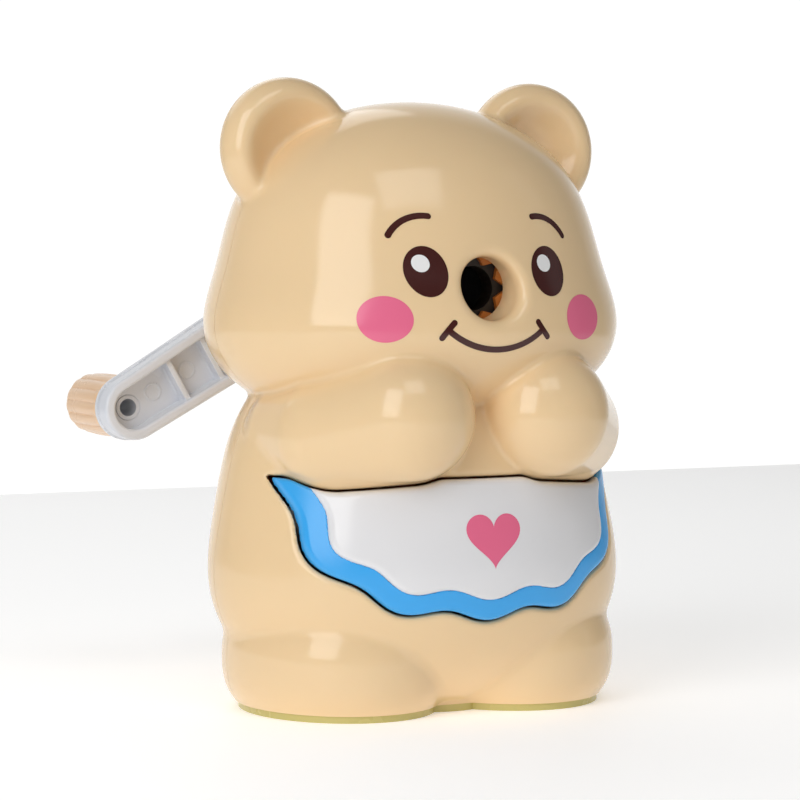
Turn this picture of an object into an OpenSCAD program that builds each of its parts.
// Hand-crank pencil sharpener shaped as a seated bear: a planetary helical cutter in the head,
// a crank at the back and a shavings drawer whose front is the bear's apron.
// Millimetres. Origin: centre of the base's underside. +Z up, the face looks along -Y.

/* [Bear] */
// Thickness of the moulded shells
wall = 2.2; // [1.8:0.1:2.8]
// Thickness of the base plate
base_t = 1.4; // [1:0.1:2]
// Gap between the two half shells at the seam
seam_gap = 0.1; // [0.05:0.05:0.3]

/* [Drawer] */
// Half width of the apron
apron_w = 34.8; // [33:0.2:35.2]
// Height of the apron's top edge
apron_top = 46.4; // [45:0.2:46.8]
// Depth of the apron below its top edge
apron_d = 26; // [24:0.2:26.6]
// Width of the coloured hem
hem_w = 3.9; // [3:0.1:5]
// Clearance all round between the drawer and its opening
drawer_gap = 0.5; // [0.4:0.05:0.8]
// How far the back of the bin lies behind the seam
bin_back = 13.4; // [10:0.2:14]

/* [Crank] */
// Distance from the shaft to the knob
crank_len = 50.5; // [46:0.5:54]
// Angle of the crank below the horizontal, towards -X
crank_drop = 30; // [0:5:60]
// Width of the crank arm at the knob
crank_w = 13.5; // [12:0.5:15]
// Number of flutes on the knob
flutes = 14; // [10:1:18]

/* [Cutter] */
// Tilt of the cutter's axis
tilt = 10; // [9:0.5:11]
// Radius of the helical cutter
cutter_r = 4.4; // [4.2:0.1:4.5]
// Number of cutting edges
edges = 9; // [8:1:12]

/* [Hidden] */
$fn = 48;

// Fine and coarse facet counts for the moulded forms
fn_form = 32;
fn_small = 20;
eps = 0.01;

// Height of the cutter's main axis, which is also the pencil's and the crank's
axis_z = 82.5;

// Ellipsoids of the head and body: centre, then half sizes
dome_c = [0, 0, 93.1];
dome_r = [36.6, 31.5, 26];
cheek_c = [0, -1, 74.8];
cheek_r = [41.9, 37.3, 21.3];
chest_c = [0, -1, 42];
chest_r = [39.2, 32, 36];
belly_c = [0, -2.6, 25];
belly_r = [42, 32.4, 27.5];

// Legs lie flat on the base: ovals whose side view is a superellipse of this power
leg_c = [18, -4.2, 10];
leg_r = [21.9, 26.2, 14.2];
leg_n = 2.6;

// Arms: shoulder, elbow and paw, each a ball
shoulder_c = [29, -6, 55];
shoulder_r = 8;
elbow_c = [25.2, -17.3, 54.6];
elbow_r = 11.4;
paw_c = [14.6, -29.5, 58.3];
paw_r = 12.6;

// Where the elbow stands out in front of the belly, as a front-view circle
elbow_front = [27.2, 54.2];
elbow_front_r = 9.6;

// Ears: a thick ring filled in, with a dish in front
ear_c = [26.9, -0.6, 109.7];
ear_ring = 8.4;
ear_rim = 5.3;
dish_c = [26, -8.6, 108.8];
dish_r = [10.5, 8, 10.5];

// Footprint of the base plate: two ovals under the legs and one between them
foot_c = [18.03, -4.43];
foot_r = [18.8, 22.6];
crotch_r = [14, 16];
foot_top = 7;

// Nose tube, collar and guide
nose_bore = 6;
nose_tube = 8.4;
nose_back = -28.6;
guide_bore = 4.3;
guide_r = 5;
guide_flange = 14;
collar_r = 12;
fingers = 8;
finger_root = 7.2;
finger_tip = 4.7;

// Mechanism frame
frame_r = 18.4;
frame_in = 16.4;
frame_front = -26.1;
frame_plate = 3.2;
frame_back = 17;
back_plate = 2;
lug_x = 22;

// Boss on the rear shell that the shaft comes out of
rear_boss_y = 37;
rear_boss_r = 9.5;
shaft_hole_r = 5;

// Carrier and shaft
disc_r = 12.6;
disc_clear = 0.08;
shaft_r = 4;
shaft_clear = 0.06;
hub_y = 8.6;
axle_r = 1.2;
axle_clear = 0.05;

// Gears
module_mm = 0.85;
ring_teeth = 32;
pinion_teeth = 10;
centre_gap = module_mm * (ring_teeth - pinion_teeth) / 2;
pinion_y = -19.8;
gear_w = 4;

// Crank stations along Y
arm_front = 38;
arm_back = 44.5;
arm_floor = 2;
arm_wall = 2.4;
hub_r = 8;
boss_r = 6.6;
rib_x = [21.6, 30.4, 39.2];
rib_t = 1.1;
knob_r = 6.6;
flute_h = 0.3;
knob_gap = 0.07;
knob_y = [44.9, 63.6];
pin_y = [42.5, 64.1];
pin_r = 2.55;
pin_bore = 1.8;
pin_cap = [4.2, 63.8, 64.8];
crank_screw_r = 1.6;
fit = 0.02;

// Drawer: how far its front stands out of the belly and reaches in, then its bin
panel_out = 0.9;
panel_in = 1.2;
hem_out = 0.47;
hem_in = 1.23;
bin_inset = 2.2;
bin_t = 1.6;
bin_top = 40.5;
shelf_z = 17.4;
shelf_t = 1.8;

// Screws: shank radius, pilot radius, and the pan head's radius and height
shank_r = 1.15;
pilot_r = 1.2;
head_r = 2.7;
head_h = 1.8;
post_r = 3.3;
well_y = 8;
well_r = 3;
base_hole_r = 1.7;

// Screws that hold the two shells, then those that hold the base
shell_screw_xz = [[24, 101], [-24, 101], [33.5, 12], [-33.5, 12]];
base_screw_xy = [[26, -14], [-26, -14], [26, 7.5], [-26, 7.5]];

// ---------- helpers ----------

// Keeps its size; the shape inside is evaluated as one mesh
module as_mesh() {
    resize([0, 0, 0]) children();
}

module both_sides() {
    children();
    mirror([1, 0, 0]) children();
}

module ellipsoid(c, r, grow = 0) {
    translate(c) scale([r.x + grow, r.y + grow, r.z + grow]) sphere(r = 1, $fn = fn_form);
}

// Cylinder along +Y between two stations, on a line through x, z
module y_cyl(x, z, y0, y1, r) {
    translate([x, y0, z]) rotate([-90, 0, 0]) cylinder(r = r, h = y1 - y0);
}

// Cylinder along +Y on the main axis
module on_axis(y0, y1, r) {
    y_cyl(0, axis_z, y0, y1, r);
}

// Extrudes a front-view outline (x, z) from one y station to another
module front_prism(y0, y1) {
    translate([0, y1, 0]) rotate([90, 0, 0]) linear_extrude(y1 - y0) children();
}

// Children are drawn about the tilted cutter axis: z runs to the back, origin in the pinion's middle
module cutter_frame() {
    translate([0, pinion_y, axis_z + centre_gap]) rotate([-90 - tilt, 0, 0]) children();
}

// Children are drawn in the crank's plane: x runs from the shaft to the knob, z is +Y
module crank_frame(y) {
    translate([0, y, axis_z]) rotate([-90, 0, 0]) rotate([0, 0, 180 - crank_drop]) children();
}

// ---------- bear form ----------

module head_form(grow) {
    hull() {
        ellipsoid(dome_c, dome_r, grow);
        ellipsoid(cheek_c, cheek_r, grow);
    }
}

module body_form(grow) {
    hull() {
        ellipsoid(chest_c, chest_r, grow);
        ellipsoid(belly_c, belly_r, grow);
    }
}

// Half outline of the leg about its upright axis, from the bottom to the top
leg_steps = 20;
function leg_side(a, grow) = [
    (leg_r.x + grow) * pow(abs(cos(a)), 2 / leg_n),
    (leg_r.z + grow) * sign(sin(a)) * pow(abs(sin(a)), 2 / leg_n)
];

module leg_form(grow) {
    translate(leg_c) scale([1, (leg_r.y + grow) / (leg_r.x + grow), 1]) rotate_extrude($fn = fn_form)
        polygon(concat(
            [[0, -leg_r.z - grow]],
            [for (i = [1 : leg_steps - 1]) leg_side(-90 + 180 * i / leg_steps, grow)],
            [[0, leg_r.z + grow]]
        ));
}

module arm_form(grow) {
    hull() {
        translate(shoulder_c) sphere(r = shoulder_r + grow, $fn = fn_small);
        translate(elbow_c) sphere(r = elbow_r + grow, $fn = fn_small);
    }
    hull() {
        translate(elbow_c) sphere(r = elbow_r + grow, $fn = fn_small);
        translate(paw_c) sphere(r = paw_r + grow, $fn = fn_small);
    }
}

module ear_form(grow) {
    translate(ear_c) rotate([90, 0, 0]) hull() rotate_extrude($fn = fn_form)
        translate([ear_ring, 0]) circle(r = ear_rim + grow, $fn = fn_small);
}

module foot_outline(grow) {
    offset(delta = grow) {
        both_sides() translate(foot_c) scale([foot_r.x, foot_r.y]) circle(r = 1);
        translate([0, foot_c.y]) scale([crotch_r.x, crotch_r.y]) circle(r = 1);
    }
}

module bear_form(grow) {
    head_form(grow);
    body_form(grow);
    both_sides() {
        leg_form(grow);
        arm_form(grow);
        ear_form(grow);
    }
    linear_extrude(foot_top) foot_outline(grow);
}

// Screw posts that reach from the seam to the shell's wall
module shell_posts(r) {
    for (p = shell_screw_xz) {
        y_cyl(p.x, p.y, -60, 60, r);
    }
}

module shell_solid() {
    difference() {
        bear_form(0);
        both_sides() ellipsoid(dish_c, dish_r);
    }
}

module cavity() {
    difference() {
        bear_form(-wall);
        both_sides() ellipsoid(dish_c, dish_r, wall);
    }
    translate([0, 0, -1]) linear_extrude(foot_top) foot_outline(-wall);
}

// Half of the bear on one side of the seam, hollow, with its screw posts
module half_shell(side) {
    intersection() {
        difference() {
            shell_solid();
            difference() {
                cavity();
                shell_posts(post_r);
                both_sides() y_cyl(lug_x, axis_z, frame_back + 0.1, 60, post_r);
                on_axis(-60, nose_back, nose_tube);
            }
        }
        translate([-80, side > 0 ? seam_gap / 2 : -80, base_t]) cube([160, 80 - seam_gap / 2, 140]);
    }
}

// ---------- apron outline ----------

// Lower half of a superellipse, by its angle about the middle of the top edge, from one tip to the other
apron_n = 2.55;
wave_pitch = 17.2;
wave_h = 0.95;
apron_steps = 96;
function apron_reach(t) = pow(pow(abs(cos(t)) / apron_w, apron_n) + pow(abs(sin(t)) / apron_d, apron_n), -1 / apron_n);
function apron_pt(t) = [-apron_reach(t) * cos(t), apron_top - apron_reach(t) * sin(t)];
function apron_norm(t) = let (d = apron_pt(t + 0.5) - apron_pt(t - 0.5)) [d.y, -d.x] / norm(d);
apron_ts = [for (i = [0 : apron_steps]) 180 * i / apron_steps];
apron_pts = [for (t = apron_ts) apron_pt(t)];

// Distance along the curve up to each point, counted from the lowest one
apron_runs = [
    for (i = 0, run = 0; i <= apron_steps; i = i + 1, run = run + (i <= apron_steps ? norm(apron_pts[i] - apron_pts[i - 1]) : 0)) run
];
function apron_wave(i) = wave_h * cos((apron_runs[i] - apron_runs[apron_steps / 2]) / wave_pitch * 360);

// The scalloped curve moved outwards, as points
function apron_line(wave, out) = [
    for (i = [0 : apron_steps]) apron_pts[i] + apron_norm(apron_ts[i]) * (wave * apron_wave(i) + out)
];

module apron_curve(wave) {
    polygon(apron_line(wave, 0));
}

// The arms' parts in front of the belly as seen from the front, which the drawer passes below
module arm_shadow(grow) {
    both_sides() hull() {
        translate(elbow_front) circle(r = elbow_front_r + grow, $fn = fn_form);
        translate([paw_c.x, paw_c.z]) circle(r = paw_r + grow, $fn = fn_form);
    }
}

module apron_outline() {
    difference() {
        apron_curve(1);
        arm_shadow(drawer_gap + 0.2);
    }
}

// What the hem leaves free: the curve drawn in by the hem's width, running on past the top edge
module hem_inside() {
    inner = apron_line(1, -hem_w);
    above = apron_top + hem_w;
    polygon(concat([[inner[0].x, above]], inner, [[inner[apron_steps].x, above]]));
}

module panel_outline() {
    intersection() {
        apron_outline();
        hem_inside();
    }
}

// Curved slab between two depths below the belly's surface
module belly_slab(out, inn) {
    difference() {
        body_form(out);
        body_form(-inn);
        translate([-80, -10, -10]) cube([160, 90, 140]);
    }
}

// ---------- housing ----------

module front_shell() {
    color([0.95, 0.83, 0.64]) as_mesh() difference() {
        half_shell(-1);
        front_prism(-70, -6) offset(delta = drawer_gap) apron_outline();
        on_axis(-60, nose_back + eps, nose_bore);
        for (p = shell_screw_xz) {
            y_cyl(p.x, p.y, -12, 1, pilot_r);
        }
    }
}

module rear_shell() {
    color([0.95, 0.83, 0.64]) as_mesh() difference() {
        union() {
            half_shell(1);
            on_axis(31, rear_boss_y, rear_boss_r);
        }
        on_axis(20, 40, shaft_hole_r);
        for (p = shell_screw_xz) {
            y_cyl(p.x, p.y, -1, 60, post_r / 2);
            y_cyl(p.x, p.y, well_y, 60, well_r);
        }
        for (x = [-lug_x, lug_x]) {
            y_cyl(x, axis_z, 0, 26, pilot_r);
        }
    }
}

module base_plate() {
    color([0.80, 0.76, 0.46]) difference() {
        linear_extrude(base_t) foot_outline(0);
        for (p = base_screw_xy) {
            translate([p.x, p.y, -1]) cylinder(r = base_hole_r, h = 4);
        }
    }
}

// Where the shelf's legs stand, as a share of the base screws' distance from the middle
shelf_leg_at = 0.62;

module drawer_shelf() {
    color([0.93, 0.88, 0.78]) difference() {
        union() {
            translate([-20, -22, shelf_z]) cube([40, 40, shelf_t]);
            for (p = base_screw_xy) {
                translate([p.x * shelf_leg_at, p.y, base_t]) cylinder(r = 3, h = shelf_z - base_t);
                translate([p.x, p.y, base_t]) cylinder(r = 3.4, h = 8);
                translate([min(p.x, p.x * shelf_leg_at), p.y - 1, base_t])
                    cube([abs(p.x) * (1 - shelf_leg_at), 2, 6]);
            }
        }
        for (p = base_screw_xy) {
            translate([p.x, p.y, 0]) cylinder(r = pilot_r, h = 12);
        }
    }
}

module centring_collar() {
    star = [for (i = [0 : 2 * fingers - 1])
        (i % 2 == 0 ? finger_root : finger_tip) * [cos(180 * i / fingers), sin(180 * i / fingers)]];
    color([0.72, 0.36, 0.12]) translate([0, nose_back + 0.1, axis_z]) rotate([-90, 0, 0]) linear_extrude(1)
        difference() {
            circle(r = collar_r);
            polygon(star);
        }
}

module pencil_guide() {
    color([0.25, 0.2, 0.18]) difference() {
        union() {
            on_axis(-27.4, -26.2, guide_flange);
            on_axis(-26.3, -22.9, guide_r);
        }
        on_axis(-30, -20, guide_bore);
    }
}

module mechanism_frame() {
    color([0.3, 0.3, 0.32]) difference() {
        union() {
            on_axis(frame_front, frame_back, frame_r);
            for (x = [-lug_x, lug_x]) {
                y_cyl(x, axis_z, frame_back - back_plate, frame_back, 4);
            }
        }
        on_axis(frame_front + frame_plate, frame_back - back_plate, frame_in);
        on_axis(frame_front - 1, frame_front + frame_plate + 1, disc_r + disc_clear);
        on_axis(frame_back - back_plate - 1, frame_back + 1, 6.05);
        translate([-12, -15.5, axis_z - 30]) cube([24, 28.5, 20]);
        for (x = [-lug_x, lug_x]) {
            y_cyl(x, axis_z, frame_back - back_plate - 1, frame_back + 1, 1.4);
        }
    }
}

// Straight-sided teeth: radius and width in degrees at the root and at the tip
function teeth(n, r_root, w_root, r_tip, w_tip, phase) = [
    for (i = [0 : n - 1])
        let (c = phase + 360 * i / n)
        each [for (k = [[r_root, -w_root], [r_tip, -w_tip], [r_tip, w_tip], [r_root, w_root]])
            k[0] * [cos(c + k[1] / 2), sin(c + k[1] / 2)]]
];

ring_pitch = module_mm * ring_teeth / 2;
pinion_pitch = module_mm * pinion_teeth / 2;

module ring_gear() {
    color([0.88, 0.86, 0.8]) difference() {
        on_axis(-22.8, -16.8, frame_in - 0.05);
        translate([0, -23, axis_z]) rotate([-90, 0, 0]) linear_extrude(7)
            polygon(teeth(ring_teeth, ring_pitch + 1.3, 5.4, ring_pitch - 0.75, 2.2, 90 + 180 / ring_teeth));
    }
}

module rear_bush() {
    color([0.78, 0.6, 0.3]) difference() {
        union() {
            on_axis(15, 19, 6);
            on_axis(17.05, 18.5, 8);
        }
        on_axis(14, 20, shaft_r + shaft_clear);
    }
}

// Pan-head screw along +Z from the top of its head
module screw(head_r, head_h, shank_r, len) {
    difference() {
        union() {
            cylinder(r = head_r, h = head_h);
            translate([0, 0, head_h]) cylinder(r = shank_r, h = len);
        }
        for (a = [0, 90]) {
            rotate([0, 0, a]) translate([-head_r * 0.6, -0.35, -1]) cube([head_r * 1.2, 0.7, 1.8]);
        }
    }
}

module shell_screws() {
    color([0.7, 0.7, 0.72]) for (p = shell_screw_xz) {
        translate([p.x, well_y + head_h, p.y]) rotate([90, 0, 0]) screw(head_r, head_h, shank_r, 16);
    }
}

module base_screws() {
    color([0.7, 0.7, 0.72]) for (p = base_screw_xy) {
        translate(p) screw(1.6, 1.2, shank_r, 9);
    }
}

module mechanism_screws() {
    color([0.7, 0.7, 0.72]) for (x = [-lug_x, lug_x]) {
        translate([x, frame_back - back_plate - head_h, axis_z]) rotate([-90, 0, 0])
            screw(head_r, head_h, shank_r, 10);
    }
}

// ---------- drawer ----------

module drawer_front() {
    color([0.95, 0.95, 0.96]) as_mesh() intersection() {
        belly_slab(panel_out, panel_in);
        front_prism(-70, 0) panel_outline();
    }
}

module apron_hem() {
    color([0.25, 0.64, 0.9]) as_mesh() intersection() {
        belly_slab(hem_out, hem_in);
        front_prism(-70, 0) difference() {
            apron_outline();
            hem_inside();
        }
    }
}

module bin_outline() {
    intersection() {
        offset(delta = -bin_inset) apron_curve(0);
        translate([-60, 0]) square([120, bin_top]);
    }
}

// The room in the bin, open at its top
module bin_room() {
    half = apron_w - bin_inset - bin_t - 1;
    offset(delta = -bin_inset - bin_t) apron_curve(0);
    translate([-half, bin_top - 3]) square([2 * half, 8]);
}

module drawer_bin() {
    color([0.95, 0.95, 0.96]) as_mesh() intersection() {
        difference() {
            front_prism(-60, bin_back) bin_outline();
            front_prism(-61, bin_back - bin_t) bin_room();
        }
        union() {
            body_form(-panel_in - 0.1);
            translate([-50, -5, 0]) cube([100, 40, 60]);
        }
    }
}

// ---------- crank body ----------

module cutter_carrier() {
    color([0.6, 0.6, 0.63]) difference() {
        union() {
            on_axis(-25.9, -23.2, disc_r);
            on_axis(hub_y, hub_y + 2.8, 12);
            on_axis(hub_y + 2.7, 14.6, 6.4);
            for (x = [-11.6, 8.8]) {
                translate([x, -24, axis_z - 3.5]) cube([2.8, hub_y + 25, 7]);
            }
            difference() {
                on_axis(-24, -3, 6.4);
                translate([-10, -30, axis_z - 2.4]) cube([20, 40, 20]);
            }
            translate([-10, -12, axis_z - 5.2]) cube([20, 6, 2.4]);
        }
        on_axis(-30, -2, 5.4);
        on_axis(11.6, 16, shaft_r + fit);
        cutter_frame() translate([0, 0, -9]) cylinder(r = axle_r + fit, h = 39.9);
    }
}

module cutter_axle() {
    color([0.75, 0.75, 0.78]) cutter_frame() translate([0, 0, -5.4]) cylinder(r = axle_r, h = 36);
}

module crank_shaft() {
    color([0.75, 0.75, 0.78]) difference() {
        on_axis(11.7, 43, shaft_r);
        difference() {
            on_axis(19.2, 20.4, shaft_r + 1);
            on_axis(19, 21, 3.6);
        }
        on_axis(32, 45, 1.5);
    }
}

module retaining_ring() {
    color([0.5, 0.5, 0.52]) difference() {
        on_axis(19.3, 20.3, 6.5);
        on_axis(19, 21, 3.65);
        translate([-1.2, 18, axis_z - 8]) cube([2.4, 4, 8]);
    }
}

module arm_outline(shrink) {
    hull() {
        circle(r = hub_r - shrink);
        translate([crank_len, 0]) circle(r = crank_w / 2 - shrink);
    }
}

module crank_arm() {
    depth = arm_back - arm_front;
    color([0.93, 0.94, 0.96]) crank_frame(arm_front) difference() {
        union() {
            difference() {
                linear_extrude(depth) arm_outline(0);
                translate([0, 0, -1]) linear_extrude(depth - arm_floor + 1) arm_outline(arm_wall);
            }
            translate([0, 0, -0.4]) cylinder(r = boss_r, h = depth + 0.4);
            for (x = rib_x) {
                translate([x - rib_t / 2, -6, 1]) cube([rib_t, 12, depth - 1]);
            }
        }
        translate([0, 0, -1]) cylinder(r = shaft_r + fit, h = depth - 0.4);
        translate([0, 0, -1]) cylinder(r = crank_screw_r, h = depth + 2);
        translate([crank_len, 0, -1]) cylinder(r = pin_r + fit, h = depth + 2);
    }
}

module crank_washer() {
    color([0.7, 0.7, 0.72]) difference() {
        on_axis(arm_back + 0.02, arm_back + 0.8, 4.6);
        on_axis(arm_back - 1, arm_back + 2, 1.6);
    }
}

module crank_screw() {
    color([0.7, 0.7, 0.72]) translate([0, arm_back + 3, axis_z]) rotate([90, 0, 0]) screw(3.6, 2.1, 1.45, 11);
}

module knob_pin() {
    color([0.85, 0.85, 0.87]) crank_frame(0) translate([crank_len, 0, 0]) difference() {
        union() {
            translate([0, 0, pin_y[0]]) cylinder(r = pin_r, h = pin_y[1] - pin_y[0]);
            translate([0, 0, pin_cap[1]]) cylinder(r = pin_cap[0], h = pin_cap[2] - pin_cap[1]);
        }
        translate([0, 0, pin_y[0] - 1]) cylinder(r = pin_bore, h = 24);
    }
}

// ---------- cutter body ----------

module helical_cutter() {
    len = 23.8;
    root = cutter_r - 0.7;
    color([0.55, 0.56, 0.58]) cutter_frame() translate([0, 0, 3.7]) difference() {
        linear_extrude(len, twist = 300, slices = 18)
            polygon([for (i = [0 : edges - 1]) let (a = 360 / edges) each [
                root * [cos(i * a), sin(i * a)],
                cutter_r * [cos((i + 0.45) * a), sin((i + 0.45) * a)],
                root * [cos((i + 0.62) * a), sin((i + 0.62) * a)]
            ]]);
        translate([0, 0, -1]) cylinder(r = axle_r + axle_clear, h = len + 2);
    }
}

module cutter_pinion() {
    color([0.8, 0.62, 0.32]) cutter_frame() difference() {
        union() {
            translate([0, 0, -gear_w / 2]) linear_extrude(gear_w)
                polygon(teeth(pinion_teeth, pinion_pitch - 1.05, 23, pinion_pitch + 0.8, 5.2, 90 + 180));
            translate([0, 0, gear_w / 2 - eps]) cylinder(r = 2.9, h = 1.6);
        }
        translate([0, 0, -4]) cylinder(r = axle_r + axle_clear, h = 10);
    }
}

// ---------- knob ----------

module knob() {
    steps = 8 * flutes;
    color([0.93, 0.8, 0.64]) crank_frame(0) translate([crank_len, 0, knob_y[0]]) difference() {
        linear_extrude(knob_y[1] - knob_y[0])
            polygon([for (i = [0 : steps - 1]) let (a = 360 * i / steps)
                (knob_r - flute_h + flute_h * cos(flutes * a)) * [cos(a), sin(a)]]);
        translate([0, 0, -1]) cylinder(r = pin_r + knob_gap, h = knob_y[1] - knob_y[0] + 2);
    }
}

front_shell();
rear_shell();
base_plate();
drawer_shelf();
centring_collar();
pencil_guide();
mechanism_frame();
ring_gear();
rear_bush();
shell_screws();
base_screws();
mechanism_screws();
drawer_front();
apron_hem();
drawer_bin();
cutter_carrier();
cutter_axle();
crank_shaft();
retaining_ring();
crank_arm();
crank_washer();
crank_screw();
knob_pin();
helical_cutter();
cutter_pinion();
knob();
